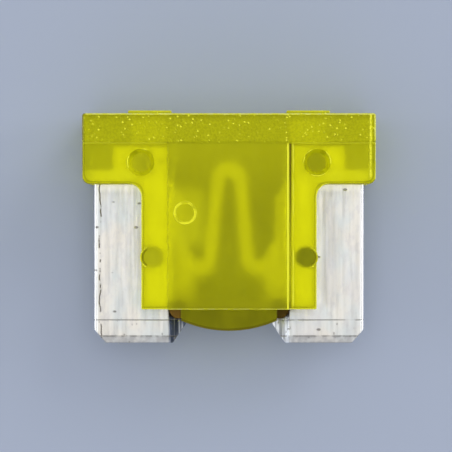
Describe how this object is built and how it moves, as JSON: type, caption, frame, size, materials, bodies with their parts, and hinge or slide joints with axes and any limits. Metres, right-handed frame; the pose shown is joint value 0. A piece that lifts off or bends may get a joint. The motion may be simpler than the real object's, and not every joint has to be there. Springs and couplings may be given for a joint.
{
  "type": "low-profile mini blade fuse",
  "caption": "Low-profile mini automotive blade fuse: a T-shaped translucent yellow housing staked onto a zinc stamping with flat blades and an M-shaped melting strip.",
  "frame": {"origin": "middle of the outline on the back face, where the fuse lies on a surface", "axes": "+X across the two blades, +Y from the blade tips towards the head, +Z from the back face to the front face"},
  "size_m": [0.011, 0.0088, 0.0038],
  "materials": {
    "yellow_plastic": "translucent yellow moulded plastic, satin, with a fine spark texture along the head",
    "zinc_metal": "tin-plated zinc alloy, satin, with fine rolling streaks along the blades"
  },
  "bodies": {
    "root": {"housing": "yellow_plastic", "fuse_link": "zinc_metal"}
  },
  "joints": []
}
